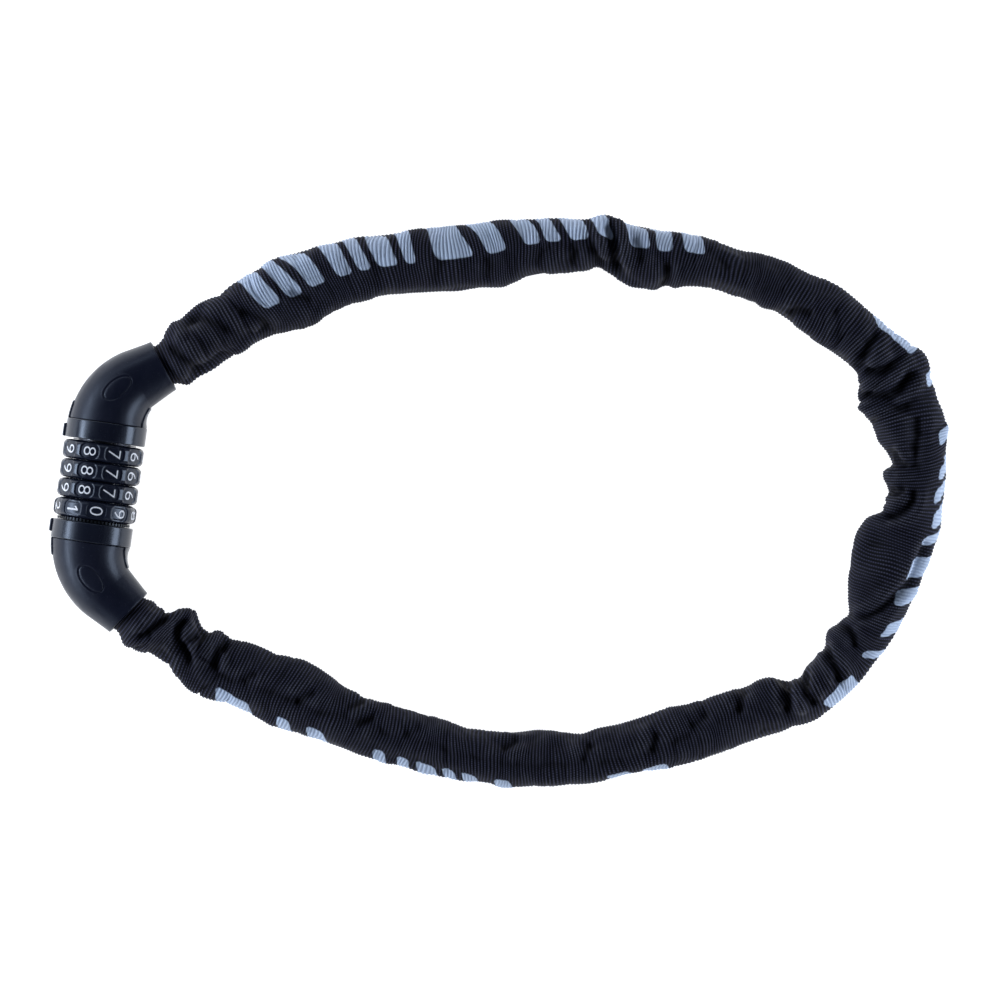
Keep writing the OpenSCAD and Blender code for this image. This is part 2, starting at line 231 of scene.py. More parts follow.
def fabric(name):
    """Ribbed woven polyester: warp yarns over thick weft ribs, with a pale reflective print on part of it. The rib
    crests and raised places are painted lighter and the rib valleys and hollows darker, as painted highlight and shade.
    """
    m = Nodes(name)
    vec, u, v = m.uv("weave")           # u in ribs along the tube, v in mm round it
    co = m.coords()
    soft = m.noise(co, 420.0, 3.0, 0.55)
    mott = m.noise(co, 120.0, 3.0, 0.55)
    # rib profile: 1 on the crest, 0 in the valley
    ph = m.math("MULTIPLY", m.math("ADD", u, m.math("MULTIPLY", m.math("SUBTRACT", soft, 0.5), 0.30)), 2 * math.pi)
    rib = m.math("MULTIPLY_ADD", m.math("COSINE", ph), 0.5, 0.5)
    # yarns that pass over each rib, staggered from one rib to the next
    half = m.math("MULTIPLY", m.math("FLOOR", m.math("ADD", u, 0.5)), 0.5)
    yarn_ph = m.math("MULTIPLY", m.math("ADD", m.math("DIVIDE", v, 0.8446), half), 2 * math.pi)
    yarn = m.math("MULTIPLY_ADD", m.math("SINE", yarn_ph), 0.5, 0.5)
    twist = m.noise(m.scaled(vec, (3.0, 9.0, 1.0)), 1.0, 2.0, 0.5)
    crest = m.math("MULTIPLY", m.math("POWER", rib, 1.6), m.math("MULTIPLY_ADD", yarn, 0.66, 0.38))
    crest = m.math("MULTIPLY", crest, m.math("MULTIPLY_ADD", twist, 0.9, 0.5), clamp=True)
    # painted light and shade on the ribs: the yarn pattern is the weave, but the crests get a light colour as painted
    # highlight and the valleys a near-black colour as painted shade
    valley_shade, mid, top = (0.0006, 0.0007, 0.0026), (0.0058, 0.0063, 0.0150), (0.056, 0.059, 0.104)
    c = m.mix(m.ramp(crest, 0.0, 0.35), valley_shade, mid)
    c = m.mix(m.ramp(crest, 0.25, 0.95), c, top)
    c = m.mix(m.math("MULTIPLY", m.ramp(mott, 0.35, 0.75), 0.25), c, (0.016, 0.017, 0.028))
    # painted shade: cloth lying below the cloth round it is darkened towards near black, as shade in folds and hollows
    fold_shading = m.attr("hollow")
    c = m.mix(m.math("MULTIPLY", m.ramp(fold_shading, 0.05, 1.0), 0.62), c, (0.0006, 0.0007, 0.0020))
    # painted highlight: raised cloth is lightened on the rib crests, as light catching the ridges
    raised_highlight = m.math("MULTIPLY", fold_shading, -1.0)
    c = m.mix(m.math("MULTIPLY", m.math("MULTIPLY", m.ramp(raised_highlight, 0.03, 0.7), 0.45), m.ramp(crest, 0.1, 0.8)), c, (0.090, 0.094, 0.125))
    # pale print, laid on the crests and thinner in the valleys, and also darker in the valleys as painted shade
    sd = m.attr("print_sd")
    edge = m.math("ADD", sd, m.math("MULTIPLY", m.math("SUBTRACT", soft, 0.5), 0.35))
    on = m.ramp(edge, -0.22, 0.22, 1.0, 0.0)
    pale = m.mix(m.ramp(rib, 0.05, 0.75), (0.36, 0.43, 0.57), (0.50, 0.59, 0.74))
    pale = m.mix(m.math("MULTIPLY", m.ramp(soft, 0.52, 0.72), 0.35), pale, (0.32, 0.39, 0.53))
    worn = m.ramp(m.noise(co, 900.0, 3.0, 0.6), 0.62, 0.74)
    on = m.math("MULTIPLY", on, m.math("MULTIPLY_ADD", worn, -0.35, 1.0))
    # painted shade: the print is darkened in folds and hollows
    pale = m.mix(m.math("MULTIPLY", m.ramp(fold_shading, 0.1, 0.9), 0.55), pale, (0.12, 0.15, 0.22))
    c = m.mix(on, c, pale)
    r = m.mixf(on, 0.72, 0.55)
    h = m.math("ADD", m.math("MULTIPLY", crest, 0.75), m.math("MULTIPLY", twist, 0.25))
    nrm = m.bump(h, 0.55, 0.00012)
    fuzz = m.noise(co, 6500.0, 2.0, 0.6)
    nrm = m.bump(fuzz, 0.25, 0.00005, nrm)
    m.set(Base_Color=c, Roughness=r, Normal=nrm)
    m.bsdf.inputs["Specular IOR Level"].default_value = 0.14
    m.bsdf.inputs["Sheen Weight"].default_value = 0.02
    m.bsdf.inputs["Sheen Roughness"].default_value = 0.45
    m.bsdf.inputs["Sheen Tint"].default_value = (0.75, 0.80, 1.0, 1.0)
    return m.mat


M_HOUSING = plastic("housing plastic", (0.0054, 0.0068, 0.0165), (0.0074, 0.0090, 0.0200), 0.36, 1.0, 0.34)
M_COLLAR = plastic("collar plastic", (0.0042, 0.0056, 0.0135), (0.0056, 0.0074, 0.0165), 0.25, 0.8, 0.55)
M_DIAL = plastic("dial plastic", (0.0062, 0.0082, 0.0180), (0.0090, 0.0115, 0.0235), 0.25, 0.7, 0.45)
M_RING = plastic("ring plastic", (0.0025, 0.0030, 0.0055), (0.0045, 0.0055, 0.0085), 0.40)
M_INK = ink("white ink")
M_CORE = metal("turned steel", (0.56, 0.57, 0.60), (0.40, 0.41, 0.44), 0.30)
M_STEEL = metal("plated steel", (0.52, 0.52, 0.54), (0.36, 0.36, 0.38), 0.34, (1.0, 1.0, 0.1))
# painted shade: the washer steel is made near black so that the gap beside dial 1, where it shows, looks shaded
M_WASHER_GAP_SHADE = metal("washer steel painted dark as gap shade", (0.075, 0.080, 0.095), (0.040, 0.043, 0.055), 0.38)
M_SPRING = metal("spring steel", (0.62, 0.63, 0.66), (0.48, 0.49, 0.52), 0.24)
M_BRASS = metal("turned brass", (0.70, 0.52, 0.24), (0.48, 0.34, 0.14), 0.30)
M_FABRIC = fabric("woven sleeve")

CAD_LOOK = {
    "housing_plastic": M_HOUSING, "dial_plastic": M_RING, "core_metal": M_CORE, "steel": M_STEEL,
    "spring_steel": M_SPRING, "brass": M_BRASS, "sleeve_fabric": M_FABRIC,
}
for sub in frame["record"]["subparts"]:
    ob = frame["nodes"].get(sub["node"])
    if ob is None:
        continue
    # the washer gets the steel painted dark as shade in its gap
    look = M_WASHER_GAP_SHADE if sub["node"] == "dial_washer" else CAD_LOOK[sub["material_slot"]]
    if not ob.material_slots:
        ob.data.materials.append(look)
    for sl in ob.material_slots:
        sl.material = look


# ---------------------------------------------------------------- mesh helpers
def make(name, verts, faces, mat, body=None, sharp=40.0, fix=True, uvs=None, attrs=None):
    """verts in mm. uvs are per corner, in the order of the faces' corners."""
    me = bpy.data.meshes.new(name)
    me.from_pydata((np.asarray(verts, float) * MM).tolist(), [], faces)
    if uvs is not None:
        layer = me.uv_layers.new(name="weave")
        layer.data.foreach_set("uv", np.asarray(uvs, np.float32).ravel())
    for k, a in (attrs or {}).items():
        at = me.attributes.new(k, "FLOAT", "POINT")
        at.data.foreach_set("value", np.asarray(a, np.float32).ravel())
    if fix:
        bm = bmesh.new()
        bm.from_mesh(me)
        bmesh.ops.recalc_face_normals(bm, faces=bm.faces)
        bm.to_mesh(me)
        bm.free()
    me.shade_smooth()
    if sharp:
        me.set_sharp_from_angle(angle=rad(sharp))
    me.materials.append(mat)
    ob = bpy.data.objects.new(name, me)
    bpy.context.scene.collection.objects.link(ob)
    if body:
        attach(ob, body)
    return ob


def quads(nu, nv, wrap=False, base=0):
    """Faces of a grid of nu rows and nv columns."""
    i = np.arange(nu - 1)[:, None]
    j = np.arange(nv if wrap else nv - 1)[None, :]
    k = (j + 1) % nv
    f = np.stack(np.broadcast_arrays(i * nv + j, i * nv + k, (i + 1) * nv + k, (i + 1) * nv + j), -1)
    return (f.reshape(-1, 4) + base).tolist()


def slab(top, bottom):
    """Closed solid between two grids of the same size."""
    nu, nv = top.shape[:2]
    n = nu * nv
    f = quads(nu, nv) + [q[::-1] for q in quads(nu, nv, base=n)]
    edge = [j for j in range(nv)] + [i * nv + nv - 1 for i in range(1, nu)]
    edge += [(nu - 1) * nv + j for j in range(nv - 2, -1, -1)] + [i * nv for i in range(nu - 2, 0, -1)]
    for a, b in zip(edge, edge[1:] + edge[:1]):
        f.append([b, a, a + n, b + n])
    return np.concatenate([top.reshape(-1, 3), bottom.reshape(-1, 3)]), f


def lathe(profile, n=288):
    """Closed ring from a closed profile of (radius, y), round the barrel's axis."""
    p = np.asarray(profile, float)
    t = np.linspace(0, 2 * math.pi, n, endpoint=False)[:, None]
    v = np.stack([LX + p[:, 0] * np.sin(t), np.broadcast_to(p[:, 1], (n, len(p))), LZ + p[:, 0] * np.cos(t)], -1)
    k = len(p)
    i = np.arange(n)[:, None]
    j = np.arange(k)[None, :]
    i2, j2 = (i + 1) % n, (j + 1) % k
    f = np.stack(np.broadcast_arrays(i * k + j, i * k + j2, i2 * k + j2, i2 * k + j), -1).reshape(-1, 4).tolist()
    return v.reshape(-1, 3), f


def smooth(t):
    t = np.clip(t, 0.0, 1.0)
    return t * t * (3 - 2 * t)


def round_box(x, y, hx, hy, r):
    """Signed distance to a rounded rectangle, negative inside."""
    qx, qy = np.abs(x) - hx + r, np.abs(y) - hy + r
    return np.hypot(np.maximum(qx, 0), np.maximum(qy, 0)) + np.minimum(np.maximum(qx, qy), 0) - r


def fillet(t, r):
    """How far a rounded edge has dropped, at distance t inside the edge, for edge radius r."""
    q = np.clip(1 - t / r, 0, 1)
    return r * (1 - np.sqrt(np.maximum(0, 1 - q * q)))


# ---------------------------------------------------------------- bent ends
def bend_rad(s):
    t = np.asarray(s, float) / BLEN
    return COLLAR_R + (MOUTH_R - COLLAR_R) * t * (0.55 + 0.45 * t * (2 - t))


def bend(m, s, r, ph):
    s = np.asarray(s, float)
    a = np.clip((s - S0) / BEND_R, 0, BEND_A)
    more = np.maximum(0, s - S0 - ARC)
    lat = BEND_R * (1 - np.cos(a)) + more * UX
    run = np.minimum(s, S0) + BEND_R * np.sin(a) + more * UY
    x = LX + lat - r * np.cos(ph) * np.cos(a)
    y = (RIM_U if m > 0 else RIM_L) + m * (run + r * np.cos(ph) * np.sin(a))
    return np.stack(np.broadcast_arrays(x, y, LZ + r * np.sin(ph)), -1)


def cover(m, front, name, node, body):
    n_s, n_p = (250, 190) if front else (130, 100)
    a0, a1 = COLLAR_H + 0.02, BLEN
    # rows crowd towards both ends and the middle; the columns are evenly spaced
    t = np.linspace(0, 1, n_s)
    s = a0 + (a1 - a0) * (t - 0.045 * np.sin(4 * math.pi * t) / 2)
    s[0], s[-1] = a0, a1
    lo = 0.0 if front else math.pi
    p = lo + math.pi * np.linspace(0, 1, n_p)
    S, P = np.meshgrid(s, p, indexing="ij")
    r = bend_rad(S)
    edge = np.minimum(P - lo, lo + math.pi - P) * r
    drop = fillet(S - a0, 0.42) + fillet(a1 - S, 0.28) + fillet(edge, 0.10)
    # shallow bead round the mouth
    bead = 0.03 * smooth((S - (a1 - 1.3)) / 0.3)
    r_out = r - drop + bead
    if front:
        # thin oval groove with a faint lip round it
        q = bend(m, S, r, P)
        cx, cy, ang = (-119.17, 14.87, rad(45)) if m > 0 else (-119.07, -43.55, rad(-40))
        u = (q[..., 0] - cx) * math.cos(ang) + (q[..., 1] - cy) * math.sin(ang)
        v = -(q[..., 0] - cx) * math.sin(ang) + (q[..., 1] - cy) * math.cos(ang)
        la, lb = (4.85, 2.55) if m > 0 else (4.85, 2.55)
        k = np.hypot(u / la, v / lb) + 1e-6
        grad = np.hypot(u / la ** 2, v / lb ** 2) / k
        d = (k - 1) / np.maximum(grad, 1e-3)
        r_out = r_out - 0.17 * np.exp(-(d / 0.24) ** 2) + 0.05 * np.exp(-((d - 0.5) / 0.26) ** 2) + 0.03 * smooth(-(d + 0.4) / 0.5)
    top = bend(m, S, r_out, P)
    bottom = bend(m, S, r - WALL + 0.12 * fillet(a1 - S, 0.5), P)
    v, f = slab(top, bottom)
    ob = make(name, v, f, M_HOUSING, body, sharp=50)
    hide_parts(node)
    return ob


def collar(m, name, node, body):
    rim = RIM_U if m > 0 else RIM_L
    lip_r, lip_h = (8.15, 1.0) if m > 0 else (10.1, 2.95)
    prof = [(lip_r, 0.0)]
    for r in (9.0, 10.0, 11.0, 11.5, COLLAR_R - 0.55):
        if r > lip_r + 0.3:
            prof.append((r, 0.0))
    for k in range(0, 7):
        a = rad(90 * k / 6)
        prof.append((COLLAR_R - 0.45 + 0.45 * math.sin(a), 0.45 - 0.45 * math.cos(a)))
    for y in np.linspace(0.7, COLLAR_H - 0.5, 12):
        prof.append((COLLAR_R, float(y)))
    for k in range(0, 5):
        a = rad(90 * k / 4)
        prof.append((COLLAR_R - 0.34 + 0.34 * math.cos(a), COLLAR_H - 0.34 + 0.34 * math.sin(a)))
    prof += [(11.6, COLLAR_H), (10.9, COLLAR_H), (10.9, (COLLAR_H + lip_h) / 2), (10.9, lip_h), (lip_r, lip_h)]
    v, f = lathe([(r, rim + m * y) for r, y in prof])
    parts = [(v, f)]
    # tongues: slabs with rounded edges that hug the covers
    for mid, half, s1 in ((0.0, 13.0, COLLAR_H + 3.4), (180.0, 25.0, 21.4)):
        s = np.linspace(COLLAR_H - 0.4, s1, 110)
        p = np.linspace(rad(mid - half), rad(mid + half), 64)
        S, P = np.meshgrid(s, p, indexing="ij")
        r = bend_rad(S)
        x = (P - rad(mid)) * r
        # the inner tongue narrows towards its tip
        hw = rad(half) * r if half < 20 else (rad(half) - rad(9.0) * smooth((S - COLLAR_H) / 12)) * r
        e = -round_box(x, S - (s1 + COLLAR_H - 6.0) / 2, hw, (s1 - COLLAR_H + 6.0) / 2, 1.1)
        out = 0.46 - fillet(np.maximum(e, 0), 0.38) - 0.5 * smooth(-e / 0.2)
        out = np.where(S < COLLAR_H + 0.2, np.minimum(out, 0.46 * smooth((S - COLLAR_H + 0.5) / 0.9)), out)
        v, f = slab(bend(m, S, r + out, P), bend(m, S, r - 0.30, P))
        parts.append((v, f))
    # index rib
    y0, y1 = (rim + 0.1, rim + 4.1) if m > 0 else (rim - 4.1, rim - 0.1)
    bx = np.array([LX - COLLAR_R - 0.8, LX - COLLAR_R + 0.5])
    g = np.linspace(-1, 1, 17)
    Y, Z = np.meshgrid(g, g, indexing="ij")
    e = -round_box(Y * 2.0, Z * 1.1, 2.0, 1.1, 0.45)
    outer = np.stack([np.full_like(Y, bx[0]) + fillet(np.maximum(e, 0), 0.35) + 0.3 * smooth(-e / 0.1),
                      (y0 + y1) / 2 + Y * 2.0, LZ + Z * 1.1], -1)
    inner = outer.copy()
    inner[..., 0] = bx[1]
    parts.append(slab(outer, inner))
    vs, fs, n = [], [], 0
    for v, f in parts:
        vs.append(v)
        fs += [[i + n for i in q] for q in f]
        n += len(v)
    ob = make(name, np.concatenate(vs), fs, M_COLLAR, body, sharp=50)
    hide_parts(node)
    return ob


collar(1, "upper_collar_skin", "upper_collar", "barrel")
collar(-1, "lower_collar_skin", "lower_collar", "plug")
cover(1, True, "upper_front_skin", "upper_front_cover", "barrel")
cover(1, False, "upper_back_skin", "upper_back_cover", "barrel")
cover(-1, True, "lower_front_skin", "lower_front_cover", "plug")
cover(-1, False, "lower_back_skin", "lower_back_cover", "plug")

# ---------------------------------------------------------------- dials
PANEL_HX, PANEL_HY, PANEL_C, PANEL_D = 3.25, 2.3, 1.65, 0.40


def panel_drop(arc, y):
    """Depth of a panel's floor, arc and y in mm from its middle."""
    sd = round_box(arc, y, PANEL_HX, PANEL_HY, PANEL_C)
    flat = 0.22 * (12.25 / np.cos(np.clip(arc / DIAL_R, -0.4, 0.4)) - 12.25)
    return (PANEL_D - flat) * smooth((0.06 - sd) / 0.42)


def dial(i, first):
    n_t, y0 = 640, DIAL_Y[i]
    ys = np.concatenate([[-DIAL_H], -DIAL_H + 1.75 * (1 - np.cos(np.linspace(0.12, math.pi / 2, 14))),
                         np.linspace(-1.0, 1.0, 18),
                         (DIAL_H - 1.75 * (1 - np.cos(np.linspace(0.12, math.pi / 2, 14))))[::-1], [DIAL_H]])
    t = np.linspace(0, 2 * math.pi, n_t, endpoint=False)
    T, Y = np.meshgrid(t, ys, indexing="ij")
    q = np.clip((np.abs(Y) - (DIAL_H - 1.75)) / 1.75, 0, 1)
    r = DIAL_R - 2.25 * (1 - np.sqrt(np.maximum(0, 1 - q * q)))
    step = rad(36)
    arc = ((T - rad(first) + step / 2) % step - step / 2) * DIAL_R
    r = r - panel_drop(arc, Y)
    outer = np.stack([LX + r * np.sin(T), y0 + Y, LZ + r * np.cos(T)], -1)
    # sides and bore
    side = []
    for rr, yy in ((10.26, DIAL_H), (10.22, DIAL_H + 0.07), (10.15, DIAL_H + 0.07), (10.02, DIAL_H - 0.15), (10.02, 0.0),
                   (10.02, 0.15 - DIAL_H), (10.15, -DIAL_H - 0.07), (10.22, -DIAL_H - 0.07), (10.26, -DIAL_H)):
        side.append(np.stack([LX + rr * np.sin(t), np.full(n_t, y0 + yy), LZ + rr * np.cos(t)], -1))
    grid = np.concatenate([outer, np.stack(side, 1)], 1)
    k = grid.shape[1]
    a = np.arange(n_t)[:, None]
    b = np.arange(k)[None, :]
    a2, b2 = (a + 1) % n_t, (b + 1) % k
    f = np.stack(np.broadcast_arrays(a * k + b, a * k + b2, a2 * k + b2, a2 * k + b), -1).reshape(-1, 4).tolist()
    ob = make("dial_%d_body" % (i + 1), grid.reshape(-1, 3), f, M_DIAL, "dial_" + "abcd"[i], sharp=55)
    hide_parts("dial_%d" % (i + 1))


def digit(k):
    """Outline of a digit as a flat mesh: x to its right, y up, in mm, centred."""
    if k == 1:
        me = bpy.data.meshes.new("digit_one")
        pts = [(0.27, -2.0), (0.27, 2.0), (-0.12, 2.0), (-1.05, 1.22), (-1.05, 0.62), (-0.27, 1.24), (-0.27, -2.0)]
        me.from_pydata([(x, y, 0) for x, y in pts], [], [list(range(7))])
        return me
    cu = bpy.data.curves.new("digit_curve", "FONT")
    cu.body = str(k)
    cu.size = 1.0
    cu.resolution_u = 8
    cu.offset = -0.014
    ob = bpy.data.objects.new("digit_source", cu)
    bpy.context.scene.collection.objects.link(ob)
    bpy.context.view_layer.update()
    me = bpy.data.meshes.new_from_object(ob.evaluated_get(bpy.context.evaluated_depsgraph_get()))
    bpy.data.objects.remove(ob)
    bpy.data.curves.remove(cu)
    return me


def digits(i, zero):
    """zero is the angle of the digit 0; the digits run backwards round the dial."""
    big = bmesh.new()
    for k in range(10):
        me = digit(k)
        co = np.array([v.co[:2] for v in me.vertices])
        lo, hi = co.min(0), co.max(0)
        mid = (lo + hi) / 2
        sc = 4.0 / (hi[1] - lo[1])
        width = (2.65, 1.28, 2.5, 2.5, 2.8, 2.5, 2.6, 2.6, 2.65, 2.6)[k]
        wide = width / ((hi[0] - lo[0]) * sc)
        b = bmesh.new()
        b.from_mesh(me)
        bmesh.ops.remove_doubles(b, verts=b.verts, dist=1e-5)
        for v in b.verts:
            v.co = ((v.co.x - mid[0]) * sc * wide, (v.co.y - mid[1]) * sc, 0)
        for _ in range(4):
            bmesh.ops.triangulate(b, faces=b.faces)
            far = [e for e in b.edges if e.calc_length() > 0.45]
            if not far:
                break
            bmesh.ops.subdivide_edges(b, edges=far, cuts=1)
        bmesh.ops.triangulate(b, faces=b.faces)
        top = bmesh.ops.extrude_face_region(b, geom=b.faces[:])
        up = {v for v in top["geom"] if isinstance(v, bmesh.types.BMVert)}
        th0 = rad(zero - 36 * k)
        for v in b.verts:
            x, y = v.co.x, v.co.y
            d = float(panel_drop(np.array(y), np.array(x)))
            r = DIAL_R - d + (0.045 if v in up else -0.10)
            th = th0 + y / DIAL_R
            v.co = ((LX + r * math.sin(th)) * MM, (DIAL_Y[i] - x) * MM, (LZ + r * math.cos(th)) * MM)
        tmp = bpy.data.meshes.new("tmp")
        b.to_mesh(tmp)
        b.free()
        big.from_mesh(tmp)
        bpy.data.meshes.remove(tmp)
        bpy.data.meshes.remove(me)
    bmesh.ops.recalc_face_normals(big, faces=big.faces)
    me = bpy.data.meshes.new("dial_%d_digits" % (i + 1))
    big.to_mesh(me)
    big.free()
    me.shade_smooth()
    me.set_sharp_from_angle(angle=rad(40))
    me.materials.append(M_INK)
    ob = bpy.data.objects.new("dial_%d_digits" % (i + 1), me)
    bpy.context.scene.collection.objects.link(ob)
    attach(ob, "dial_" + "abcd"[i])


for i in range(4):
    dial(i, 19.5 if i < 3 else 5.0)
    digits(i, 271.5 if i < 3 else 5.0)

# ---------------------------------------------------------------- sleeve
MOUTH_DX = BEND_R * (1 - math.cos(BEND_A)) + TAIL * UX
MOUTH_DY = S0 + BEND_R * math.sin(BEND_A) + TAIL * UY
P1 = np.array([LX + MOUTH_DX, RIM_U + MOUTH_DY])
P2 = np.array([LX + MOUTH_DX, RIM_L - MOUTH_DY])
FAR = (119.5, -14.0)
WAY_U = [P1, (-98, 29.5), (-90, 37), (-77, 47), (-64, 55.5), (-49, 62), (-33, 66.5), (-17, 70.5), (0, 75.5),
         (17, 79), (34, 79), (52, 78), (69, 75.5), (84, 70.5), (97, 63.5), (108, 55), (116, 46), (121, 36.5),
         (124.5, 26), (125.5, 15.5), (124.5, 5), (122, -5), FAR]
WAY_L = [FAR, (117.5, -24), (114.5, -31.5), (109.5, -39), (102.5, -46), (92, -52.5), (78, -60), (63, -67),
         (47, -73), (30, -77), (13, -79), (-5, -79.5), (-21, -78.5), (-37, -76), (-52, -72), (-66, -67.5),
         (-79, -63.5), (-91, -60), (-99, -56.5), P2]


def spline(w, before, after, n=8):
    w = [np.asarray(p, float) for p in w]
    pts = []
    for i in range(len(w) - 1):
        a = before if i == 0 else w[i - 1]
        b, c = w[i], w[i + 1]
        d = after if i == len(w) - 2 else w[i + 2]
        for k in range(n):
            t = k / n
            pts.append(0.5 * (2 * b + (c - a) * t + (2 * a - 5 * b + 4 * c - d) * t * t + (3 * b - 3 * c + d - a) * t ** 3))
    pts.append(w[-1])
    return np.array(pts)


U0 = np.array([UX, UY])
run_u = spline(WAY_U, P1 - 9 * U0, np.array(WAY_L[1], float))
run_l = spline(WAY_L, np.array(WAY_U[-2], float), P2 - 9 * U0 * [1, -1])
route = np.concatenate([run_u, run_l[1:]])
dist = np.concatenate([[0], np.cumsum(np.hypot(*np.diff(route, axis=0).T))])
LENGTH = float(dist[-1])
LEN_U = float(dist[len(run_u) - 1])
Z_LOW = 8.2
EXT = 20.0
tab_s = np.concatenate([[-EXT], dist, [LENGTH + EXT]])
tab = np.concatenate([[P1 - EXT * U0], route, [P2 + EXT * U0 * [-1, 1]]])


def centre(s):
    return np.stack([np.interp(s, tab_s, tab[:, 0]), np.interp(s, tab_s, tab[:, 1])], -1)


fine_s = np.arange(-8, LENGTH + 8, 0.5)
tan = centre(fine_s + 1.2) - centre(fine_s - 1.2)
kern = np.exp(-0.5 * (np.arange(-12, 13) / 4.0) ** 2)
kern /= kern.sum()
tan = np.stack([np.convolve(np.pad(tan[:, c], 12, mode="edge"), kern, "valid") for c in (0, 1)], -1)
tan /= np.linalg.norm(tan, axis=1)[:, None]
turn = np.unwrap(np.arctan2(tan[:, 1], tan[:, 0]))
bendy = np.convolve(np.pad(np.abs(np.gradient(turn, fine_s)), 12, mode="edge"), kern, "valid")

# how far the sleeve reaches to its outer and inner side of the route, at stations along it
SHAPE = [
    (0, 7.5, 8), (4, 8, 8.2), (8, 10.3, 7), (16, 10.7, 7.4), (22, 9.7, 8.2), (30, 11.2, 8.4), (40, 11.2, 9.7),
    (46, 11.2, 11), (52, 10.8, 10), (60, 10, 9.4), (72, 9.5, 9.2), (84, 9.4, 9.7), (96, 9.6, 10.3), (102, 9.5, 9.8),
    (108, 9.5, 10.7), (116, 8.5, 8.8), (124, 8, 8), (130, 7.8, 8.8), (136, 7.3, 8), (140, 8.4, 7), (144, 8.2, 7.8),
    (148, 7.4, 10.6), (156, 7.2, 11), (160, 6.8, 11), (164, 6.9, 8.5), (172, 6.8, 7.2), (180, 6.5, 7), (190, 6.7, 7.7),
    (198, 7.2, 7.2), (206, 7.8, 7.9), (216, 8.5, 8.6), (222, 9, 7.8), (228, 9.3, 7), (232, 10, 5.8), (236, 10.6, 7.7),
    (240, 11.6, 11), (244, 11.5, 11.2), (248, 10.5, 11.4), (252, 9.8, 10.6), (258, 10.2, 10), (264, 9.7, 8.6),
    (268, 9.4, 7.5), (272, 9.2, 10), (280, 8.7, 8.3), (285, 9.2, 8.5), (289, 9.6, 13.4), (296, 9.2, 14.8),
    (302, 9.2, 13.4), (308, 9.3, 11.5), (314, 8.6, 9.4), (320, 7.9, 7.5), (324, 7, 8.6), (330, 6.5, 9.8),
    (336, 7.1, 7.5), (344, 8, 7), (348, 8.5, 5.2), (352, 8.7, 5), (356, 8.2, 7.6), (360, 8.6, 9), (366, 8.1, 8.4),
    (372, 8, 9), (384, 8.4, 8.4), (396, 8, 9), (408, 7.3, 8.2), (414, 8, 7.3), (420, 8.3, 6), (428, 8.2, 7.7),
    (434, 8.6, 8.4), (444, 8.7, 6.8), (456, 8.2, 6.7), (466, 8.3, 8), (476, 7.8, 8.6), (490, 8, 8.7), (500, 8.3, 10),
    (508, 9.3, 11.5), (513, 10, 11.8), (520, 9.8, 9.9), (528, 9.9, 9.7), (536, 9.6, 7.6), (540, 8.8, 7.8),
    (544, 7.3, 7.0), (547, 5.6, 9.4), (551, 4.6, 12.4), (555, 5.2, 10.6), (558, 7.2, 6.4), (561, 8.4, 6.2), (564, 8.4, 8), (568, 7, 7),
]
sh = np.array(SHAPE, float)
out_w = np.interp(fine_s, sh[:, 0], sh[:, 1])
in_w = np.interp(fine_s, sh[:, 0], sh[:, 2])
k2 = np.exp(-0.5 * (np.arange(-6, 7) / 2.0) ** 2)
k2 /= k2.sum()
out_w = np.convolve(np.pad(out_w, 6, mode="edge"), k2, "valid")
in_w = np.convolve(np.pad(in_w, 6, mode="edge"), k2, "valid")


def lattice(rng, ns, nw):
    return rng.uniform(-1, 1, (ns, nw))


def noise2(table, x, y):
    """Smooth noise from a table of random values, periodic in both."""
    ns, nw = table.shape
    i, j = np.floor(x).astype(int), np.floor(y).astype(int)
    fx, fy = x - i, y - j
    fx, fy = fx * fx * fx * (fx * (fx * 6 - 15) + 10), fy * fy * fy * (fy * (fy * 6 - 15) + 10)
    a, b = table[i % ns, j % nw], table[(i + 1) % ns, j % nw]
    c, d = table[i % ns, (j + 1) % nw], table[(i + 1) % ns, (j + 1) % nw]
    return (a * (1 - fx) + b * fx) * (1 - fy) + (c * (1 - fx) + d * fx) * fy


